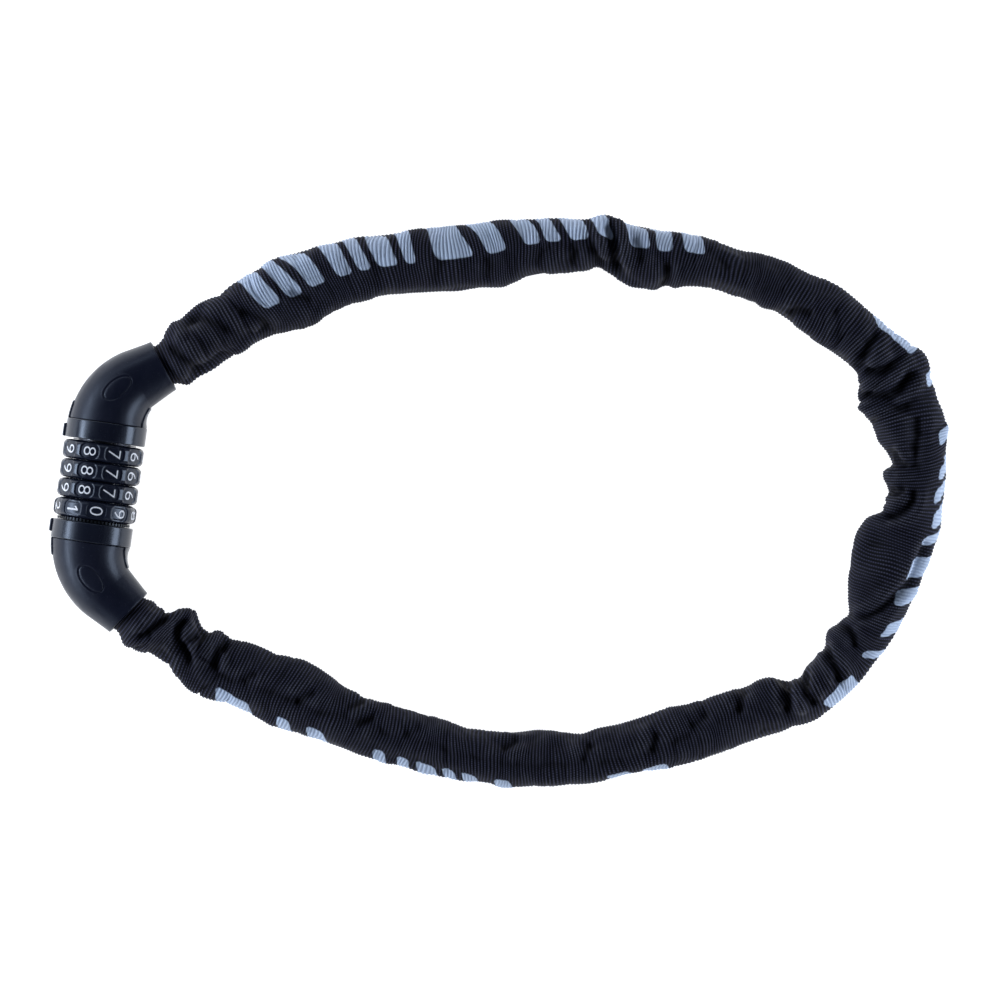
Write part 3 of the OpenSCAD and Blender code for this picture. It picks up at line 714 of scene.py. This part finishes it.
# creases: points as (mm along the route, mm to the outer side), depth, half-width
CREASES = [
    ([(234, -5), (236, -3), (238, 0), (238.5, 5)], 2.0, 1.1),
    ([(240, -10), (243, -7), (246, -2.3), (244.5, 2), (242.5, 7.6)], 2.3, 1.1),
    ([(245, -10), (247, -6), (250, -2), (251, 2)], 1.5, 1.0),
    ([(254, 3), (258, 1.5), (264, -0.5), (271, -1)], 0.9, 1.3),
    ([(276, -1), (280, -1.2), (283, -2.5), (286, -5.4), (287, -8.5)], 1.8, 1.0),
    ([(228, 6), (229, 2), (231, -2), (233, -5)], 1.2, 1.2),
    ([(141.5, 6), (143, 3), (144.5, -1), (146, -6), (148.5, -9.5)], 2.1, 1.2),
    ([(137, -1), (140, -4.5), (143, -7)], 1.0, 1.2),
    ([(150, 3), (153, -1), (154, -5)], 0.7, 1.3),
    ([(161, -11), (162.5, -7), (161.5, -3)], 1.3, 1.1),
    ([(14, 9), (18, 6.5), (21, 2.5), (22, -2)], 1.4, 1.5),
    ([(4, 5), (6, 1), (8, -4), (8, -7)], 1.1, 1.3),
    ([(28, 3), (30, 0.7), (33, -3), (33, -7)], 1.3, 1.5),
    ([(44, 1), (46, -1.7), (50, -5)], 0.9, 1.4),
    ([(290, 6.5), (294, 6), (299, 6.5), (304, 6), (309, 3.5), (314, 1.3), (318, -2), (320, -6.5)], 1.5, 1.0),
    ([(324, -8), (326, -4), (329, -1)], 1.1, 1.0),
    ([(335, -8), (336.5, -4), (338, 0), (340, 3)], 1.6, 1.0),
    ([(346, -6), (348, -3.3), (350, 0.3), (348.5, 5)], 1.7, 1.1),
    ([(354.5, -8), (354, -4), (355, 0), (357, 3.5)], 1.9, 1.1),
    ([(356, 4), (362, 1), (368, -3), (376, -1), (385, -0.5), (394, 0.8), (398, 2.2), (406, 2.6), (414, 2.5), (423, 2.6),
      (432, 3), (441, 2.6), (449, 1.9), (460, 1.4), (464, -1.2), (470, -0.6), (476, 0.3), (482, -0.8), (488, -2.4),
      (496, -1.2), (505, 0.2), (516, 0.5), (523, 1.8), (530, 3.2), (537, 2.8), (546, -0.1)], 0.64, 1.25),
    ([(366, -7.5), (369, -5), (371, -2)], 1.1, 1.2),
    ([(379, -5), (383, -3.4), (387, -3.2)], 1.1, 1.3),
    ([(396, -3.5), (398, -1), (400, 2)], 1.1, 1.2),
    ([(417, -4), (419, -1), (421, 1.5)], 0.9, 1.2),
    ([(440, -6), (442, -3.8), (445, -1.5)], 1.1, 1.2),
    ([(470, -5), (473, -2.8), (476, -2)], 0.9, 1.2),
    ([(485, -5), (488, -3), (490, 0)], 1.0, 1.2),
    ([(490, -8), (492, -6), (495, -4)], 0.9, 1.1),
    ([(505, -5), (508, -2.4), (510, 0.5)], 1.0, 1.2),
    ([(524, -3), (526, -0.2), (527, 2)], 1.0, 1.2),
    ([(535, -6), (538, -4.5), (537, -1), (536, 2.5)], 1.7, 1.1),
    ([(543, 5), (546, 1), (550, -1), (552, -5), (551, -9)], 2.0, 1.0),
    ([(556, -7), (558, -3), (559, 1), (561, 5)], 1.6, 1.0),
    ([(545, -6), (547, -3), (548, 0)], 1.0, 0.9),
    ([(70, -6), (72, -2), (71, 2)], 0.5, 1.6), ([(88, -7), (91, -3), (92, 0)], 0.5, 1.6),
    ([(104, -8), (106, -4), (105, -1)], 0.7, 1.5), ([(120, -6), (123, -2), (126, -1)], 0.7, 1.4),
    ([(131, -7), (133, -3), (131, 0)], 0.7, 1.3), ([(172, 4), (177, 2), (181, -1)], 0.8, 1.4),
    ([(190, -6), (194, -2), (199, 0)], 0.5, 1.5), ([(203, -7), (206, -4), (210, -2)], 1.1, 1.3),
    ([(214, 3), (218, 0), (221, -4)], 0.7, 1.3),
    ([(262, -9), (267, -7), (269, -3)], 1.5, 1.2), ([(277, -9), (278, -6.5), (276.5, -4)], 1.5, 1.1),
]
# soft lumps and hollows: along, to the outer side, height, reach along, reach across
LUMPS = [
    (12, 6, 0.9, 5, 4), (25, 5, -0.6, 4, 4), (48, -7, 0.6, 8, 4), (98, -7, 0.5, 9, 4), (142, 6.5, 1.0, 3, 3),
    (155, -7, 0.9, 5, 4), (160, -1, 0.5, 6, 5), (206, -4.5, -0.8, 4, 3), (240, 8, 0.8, 4, 4), (250, -8, 0.8, 4, 3.5),
    (257, 5, 0.5, 7, 4), (272, -8, 1.0, 3, 3), (282, 3, 0.4, 7, 4), (296, -8, -1.3, 7, 4), (298, -12.5, 0.6, 8, 2.5),
    (303, 0, 0.5, 7, 3.5), (330, -6, 0.9, 4, 3.5), (343, -1, 0.6, 4, 4), (351, -5.5, -1.0, 2.5, 3),
    (361, -6, 0.8, 4, 4), (391, -5, 0.5, 6, 4), (404, -5, 0.4, 6, 3.5), (430, -5, 0.5, 6, 3.5), (466, -6, 0.4, 7, 3.5),
    (501, -7, 0.7, 6, 4), (513, -7, 0.8, 6, 4), (531, -6, 0.5, 4, 3.5), (550, -8, 1.2, 3.2, 3.5), (541, 4, 0.6, 4, 3.5),
    (560, -5, 0.7, 3, 3), (564, 5, 0.5, 3, 3),
]
# print: where each run of blocks starts and ends, mm along the route, and its kind
PRINT = [
    (31, 55, 0), (58, 84, 1), (87, 113, 2), (115.5, 143, 1), (145.5, 171, 0), (222, 238, 2), (242, 246, 0),
    (256, 263, 0), (267, 290, 1), (292, 310, 0), (313, 320, 0), (324, 328, 0), (333, 347, 2), (393, 414, 0),
    (439, 446, 0), (450, 475, 1), (477, 482, 0), (496, 503, 0), (507, 512, 0), (519, 533, 2),
]


def print_distance(s, q):
    """Signed distance, mm, to runs of slanted stripes, wide and narrow by turns."""
    d = np.full(s.shape, 9.0)
    for a, b, kind in PRINT:
        mid, half = (a + b) / 2, (b - a) / 2
        near = np.abs(s - mid) < half + 6
        x, y = s[near] - mid, q[near]
        p = x - 0.34 * y
        bars = max(1, int(round(half * 2 / (8.6, 6.4, 11.5)[kind])))
        pitch = 2 * half / bars
        n = np.clip(np.floor((p + half) / pitch), 0, bars - 1)
        wide = pitch * 0.5 * np.where(n % 2 == 0, 0.76, 0.58)
        e = round_box(p + half - (n + 0.5) * pitch, y, wide, 6.3, np.minimum(1.3, wide * 0.9))
        d[near] = np.minimum(d[near], e)
    return d


def link_heights():
    """Top of the links under the sleeve on a grid of route and offset, spread so that the cloth bridges them."""
    from mathutils.bvhtree import BVHTree
    verts, faces = [], []
    for name in ("upper_anchor_link", "upper_chain_links", "lower_chain_links", "lower_anchor_link"):
        ob = frame["nodes"][name]
        n = len(verts)
        verts += [(ob.matrix_world @ v.co) * 1000.0 for v in ob.data.vertices]
        faces += [[i + n for i in f.vertices] for f in ob.data.polygons]
    tree = BVHTree.FromPolygons(verts, faces)
    gs, gl = np.arange(-6, LENGTH + 6, 0.6), np.arange(-11, 11.01, 0.5)
    c = centre(gs)
    tx, ty = np.interp(gs, fine_s, tan[:, 0]), np.interp(gs, fine_s, tan[:, 1])
    h = np.full((len(gs), len(gl)), -20.0)
    for i in range(len(gs)):
        for j in range(len(gl)):
            hit = tree.ray_cast((c[i, 0] - ty[i] * gl[j], c[i, 1] + tx[i] * gl[j], 60.0), (0, 0, -1))
            if hit[0] is not None:
                h[i, j] = hit[0].z
    raw = h.copy()
    for _ in range(14):
        h[1:] = np.maximum(h[1:], h[:-1] - 0.42)
        h[:-1] = np.maximum(h[:-1], h[1:] - 0.42)
    for _ in range(14):
        h[:, 1:] = np.maximum(h[:, 1:], h[:, :-1] - 0.62)
        h[:, :-1] = np.maximum(h[:, :-1], h[:, 1:] - 0.62)
    big = h.copy()
    for di in (-1, 0, 1):
        for dj in (-1, 0, 1):
            big = np.maximum(big, np.roll(np.roll(h, di, 0), dj, 1))
    solid = raw > 2.0
    lo = np.where(solid.any(1), gl[np.argmax(solid, 1)], 0.0)
    hi = np.where(solid.any(1), gl[len(gl) - 1 - np.argmax(solid[:, ::-1], 1)], 0.0)
    for _ in range(3):
        lo[1:-1] = np.minimum(lo[1:-1], np.minimum(lo[:-2], lo[2:]))
        hi[1:-1] = np.maximum(hi[1:-1], np.maximum(hi[:-2], hi[2:]))
    return gs, gl, big + 0.30, lo - 0.55, hi + 0.55


LINK_S, LINK_L, LINK_Z, LINK_IN, LINK_OUT = link_heights()


def sleeve():
    rng = np.random.default_rng(22)
    rib = 0.98
    n_r = int(round((LENGTH + 4.0) / rib))
    nu, nv = n_r * 4 + 1, 40
    u = -2.0 + (LENGTH + 4.0) * np.arange(nu) / (nu - 1)
    t = np.arange(nv) / nv
    psi = -math.pi / 2 + 2 * math.pi * t + 0.35 * np.sin(2 * math.pi * t)
    U, PSI = np.meshgrid(u, psi, indexing="ij")
    W = PSI * 8.2                                   # mm round the tube
    per = 2 * math.pi * 8.2
    free = smooth((U - 3) / 9) * smooth((LENGTH - 3 - U) / 9)

    def nz(ds, cells, seed_rows=160):
        tb = lattice(rng, seed_rows, cells)
        return noise2(tb, U / ds, W / per * cells)

    # the cloth slides along itself a little, so ribs bow and lean
    bow = 1.6 * nz(17, 3) + 1.0 * nz(8, 5) + 0.30 * nz(4.5, 9) + 0.8 * np.cos(PSI - 2.2) * nz(34, 1)
    S = U + bow * free
    off_o = np.interp(S, fine_s, out_w)
    off_i = np.interp(S, fine_s, in_w)
    tuck = smooth((U - 0.6) / 4.5) * smooth((LENGTH - 0.6 - U) / 4.5)
    off_o = 6.55 + (off_o - 6.55) * tuck
    off_i = 6.55 + (off_i - 6.55) * tuck
    a = (off_o + off_i) / 2
    mid = (off_o - off_i) / 2
    b = np.sqrt(np.maximum(131.8 - a * a, 34.0))
    b = np.clip(b, 8.1, 9.2)
    b = 6.5 + (b - 6.5) * tuck
    raise_ = 1 - smooth(np.minimum(S, LENGTH - S) / 30)
    zc = b * 0.985 * (1 - raise_) + LZ * raise_
    cx, sx = np.cos(PSI), np.sin(PSI)
    lat = mid + a * np.sign(cx) * np.abs(cx) ** 0.96
    z = b * np.sign(sx) * np.abs(sx) ** 0.96
    # displacement along the section's normal
    top = smooth((sx + 0.35) / 0.6)
    inner = smooth((-cx + 0.25) / 0.9)
    curv = np.interp(S, fine_s, bendy)
    fold = smooth((curv - 0.004) / 0.03)
    ridge = 1 - np.abs(nz(5.2, 4))
    rough = 0.55 + 0.45 * smooth((60 - np.minimum(S, LENGTH - S)) / 40) + 0.35 * smooth(1 - np.abs(S - 243) / 40)
    disp = 0.62 * nz(15, 5) + 0.60 * nz(7.5, 7) + 0.24 * nz(3.8, 12) + 0.55 * nz(36, 8)
    ridge2 = 1 - np.abs(nz(7.5, 6))
    disp = disp - (0.25 + 0.75 * inner * fold) * ridge ** 4 * 1.3 - 0.7 * rough * ridge2 ** 6 + 0.35
    disp = disp * rough * top * (0.35 + 0.65 * free) * 1.7
    for pts, depth, wide in CREASES:
        wide = wide * 1.3
        p = np.array(pts, float)
        k = max(3, int(abs(p[-1, 0] - p[0, 0]) + abs(p[:, 1]).max() * 2) + 8)
        tt = np.linspace(0, len(p) - 1, k)
        q = np.stack([np.interp(tt, np.arange(len(p)), p[:, 0]), np.interp(tt, np.arange(len(p)), p[:, 1])], -1)
        rows = (u > q[:, 0].min() - 7) & (u < q[:, 0].max() + 7)
        A, B = S[rows], lat[rows]
        d = np.full(A.shape, 99.0)
        fade = np.ones(A.shape)
        for e in range(k - 1):
            g, h = q[e], q[e + 1]
            gh = h - g
            l2 = max(float(gh @ gh), 1e-6)
            w = np.clip(((A - g[0]) * gh[0] + (B - g[1]) * gh[1]) / l2, 0, 1)
            dd = np.hypot(A - g[0] - w * gh[0], B - g[1] - w * gh[1])
            nearer = dd < d
            pos = (e + w) / (k - 1)
            d = np.where(nearer, dd, d)
            fade = np.where(nearer, smooth(np.minimum(pos, 1 - pos) / 0.16 + 0.25), fade)
        shape = -np.exp(-(d / wide) ** 2) + 0.42 * np.exp(-((d - 2.2 * wide) / (1.1 * wide)) ** 2)
        disp[rows] += 1.35 * depth * shape * fade * smooth((sx[rows] + 0.25) / 0.5)
    for s0, o0, hgt, ra, ro in LUMPS:
        rows = np.abs(u - s0) < 3 * ra + 3
        g = np.exp(-((S[rows] - s0) / ra) ** 2 - ((lat[rows] - o0) / ro) ** 2)
        disp[rows] += hgt * g * smooth((sx[rows] + 0.4) / 0.6)
    ribs = 0.17 * np.cos(2 * math.pi * (U + 2.0) / rib) * smooth((U + 1.5) / 2) * smooth((LENGTH + 1.5 - U) / 2)
    disp = disp * tuck + ribs
    nl, nzv = cx / a, sx / b
    nn = np.hypot(nl, nzv)
    lat = lat + disp * nl / nn
    # the cloth passes beside the links where they lie flat
    side = smooth((0.62 - np.abs(sx)) / 0.3) * tuck
    far_out = np.logaddexp(0, (np.interp(S, LINK_S, LINK_OUT) - lat) / 0.2) * 0.2
    far_in = np.logaddexp(0, (lat - np.interp(S, LINK_S, LINK_IN)) / 0.2) * 0.2
    lat = lat + side * np.where(cx > 0, far_out, -far_in)
    z = zc + z + disp * nzv / nn
    z = np.maximum(z, 0.12 + 0.08 * np.cos(2 * math.pi * (U + 2.0) / rib))
    # the cloth lies over the links
    gi = np.clip((S - LINK_S[0]) / 0.6, 0, len(LINK_S) - 1.001)
    gj = np.clip((lat - LINK_L[0]) / 0.5, 0, len(LINK_L) - 1.001)
    i0, j0 = np.floor(gi).astype(int), np.floor(gj).astype(int)
    fi, fj = gi - i0, gj - j0
    need = ((LINK_Z[i0, j0] * (1 - fi) + LINK_Z[i0 + 1, j0] * fi) * (1 - fj)
            + (LINK_Z[i0, j0 + 1] * (1 - fi) + LINK_Z[i0 + 1, j0 + 1] * fi) * fj)
    gapz = z - ribs - need
    lift = np.where(sx > 0.12, np.logaddexp(0, -gapz / 0.3) * 0.3, 0.0) * tuck
    z = z + lift
    # how far each point lies below the cloth round it; the material paints shade in the hollows and light on the raised
    # places from this
    D = disp - ribs + lift
    ku = np.exp(-0.5 * (np.arange(-24, 25) / 9.0) ** 2)
    ku /= ku.sum()
    blur = np.apply_along_axis(lambda r: np.convolve(np.pad(r, 24, mode="edge"), ku, "valid"), 0, D)
    kw = np.exp(-0.5 * (np.arange(-4, 5) / 1.8) ** 2)
    kw /= kw.sum()
    blur = sum(kw[k + 4] * np.roll(blur, k, axis=1) for k in range(-4, 5))
    hollow = np.clip((blur - D) / 0.9, -1, 1) * smooth((sx + 0.3) / 0.5)
    c = centre(S.ravel()).reshape(*S.shape, 2)
    tx = np.interp(S, fine_s, tan[:, 0])
    ty = np.interp(S, fine_s, tan[:, 1])
    X = c[..., 0] - ty * lat
    Y = c[..., 1] + tx * lat
    P = np.stack([X, Y, z], -1)
    # print distance at each point
    band = np.interp(U, [30, 60, 100, 140, 170, 200, 225, 245, 270, 290, 315, 345, 360, 395, 460, 500, 540],
                     [56, 52, 47, 37, 30, 22, 4, -6, 2, 10, 20, 18, 2, -4, -3, 5, 8])
    wrap = (PSI - np.radians(band) + math.pi) % (2 * math.pi) - math.pi
    sd = print_distance(U, wrap * 8.2)
    faces = quads(nu, nv, wrap=True)
    uu, vv = (u + 2.0) / rib, np.concatenate([t, [1.0]]) * per
    uq = np.empty((nu - 1, nv, 4, 2))
    uq[..., 0, 0], uq[..., 1, 0] = uu[:-1, None], uu[:-1, None]
    uq[..., 2, 0], uq[..., 3, 0] = uu[1:, None], uu[1:, None]
    uq[..., 0, 1], uq[..., 3, 1] = vv[None, :-1], vv[None, :-1]
    uq[..., 1, 1], uq[..., 2, 1] = vv[None, 1:], vv[None, 1:]
    ob = make("sleeve", P.reshape(-1, 3), faces, M_FABRIC, None, sharp=0, fix=False,
              uvs=uq.reshape(-1, 2), attrs={"print_sd": sd, "hollow": hollow})
    # faces must look outwards
    me = ob.data
    mid_face = me.polygons[(nu // 2) * nv + nv // 2]
    if mid_face.normal.z < 0:
        me.flip_normals()
    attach(ob, "upper_chain")
    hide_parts("sleeve_upper", "sleeve_lower")
    return ob


sleeve_ob = sleeve()
sleeve_ob.parent = None
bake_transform(sleeve_ob)


# ---------------------------------------------------------------- floor and light
def floor():
    m = Nodes("floor")
    co = m.coords()
    n = m.noise(co, 6.0, 2.0, 0.5)
    m.set(Base_Color=m.mix(n, (0.90, 0.90, 0.90), (0.93, 0.93, 0.93)), Roughness=0.9)
    m.bsdf.inputs["Specular IOR Level"].default_value = 0.1
    m.bsdf.inputs["Emission Color"].default_value = (1.0, 1.0, 1.0, 1.0)
    m.bsdf.inputs["Emission Strength"].default_value = 0.97
    me = bpy.data.meshes.new("floor")
    bm = bmesh.new()
    bmesh.ops.create_grid(bm, x_segments=8, y_segments=8, size=3.0)
    bm.to_mesh(me)
    bm.free()
    me.materials.append(m.mat)
    ob = bpy.data.objects.new("floor", me)
    bpy.context.scene.collection.objects.link(ob)
    ob.location.z = -0.0002


def area(name, loc, target, size_x, size_y, power, color=(1, 1, 1)):
    d = bpy.data.lights.new(name, "AREA")
    d.shape = "RECTANGLE"
    d.size, d.size_y = size_x, size_y
    d.energy = power
    d.color = color
    ob = bpy.data.objects.new(name, d)
    bpy.context.scene.collection.objects.link(ob)
    ob.location = loc
    v = np.array(target, float) - np.array(loc, float)
    from mathutils import Vector
    ob.rotation_euler = Vector(v).to_track_quat("-Z", "Y").to_euler()
    ob.visible_camera = False
    return ob


floor()
world = bpy.data.worlds.new("studio")
bpy.context.scene.world = world
world.use_nodes = True
bg = world.node_tree.nodes["Background"]
bg.inputs["Color"].default_value = (0.88, 0.92, 1.0, 1.0)
bg.inputs["Strength"].default_value = 0.05
cool = (0.80, 0.88, 1.0)
area("left strip", (-1.15, -0.28, 0.42), (-0.05, -0.28, 0), 1.70, 0.22, 13.4, cool)
area("left wash", (-1.25, 0.0, 0.52), (-0.05, 0, 0), 2.6, 0.75, 7.0, cool)
area("right strip", (1.20, 0.0, 0.34), (0.05, 0, 0), 1.45, 0.50, 14.0, cool)
area("far fill", (-0.25, 1.6, 0.72), (0, 0, 0), 2.4, 0.45, 5.0, cool)
area("near fill", (-0.1, -1.7, 0.72), (0, 0, 0), 2.4, 0.45, 3.4, cool)

scene = bpy.context.scene
scene.view_settings.view_transform = "Standard"
scene.view_settings.look = "None"
scene.view_settings.exposure = 0.0
scene.view_settings.gamma = 1.0
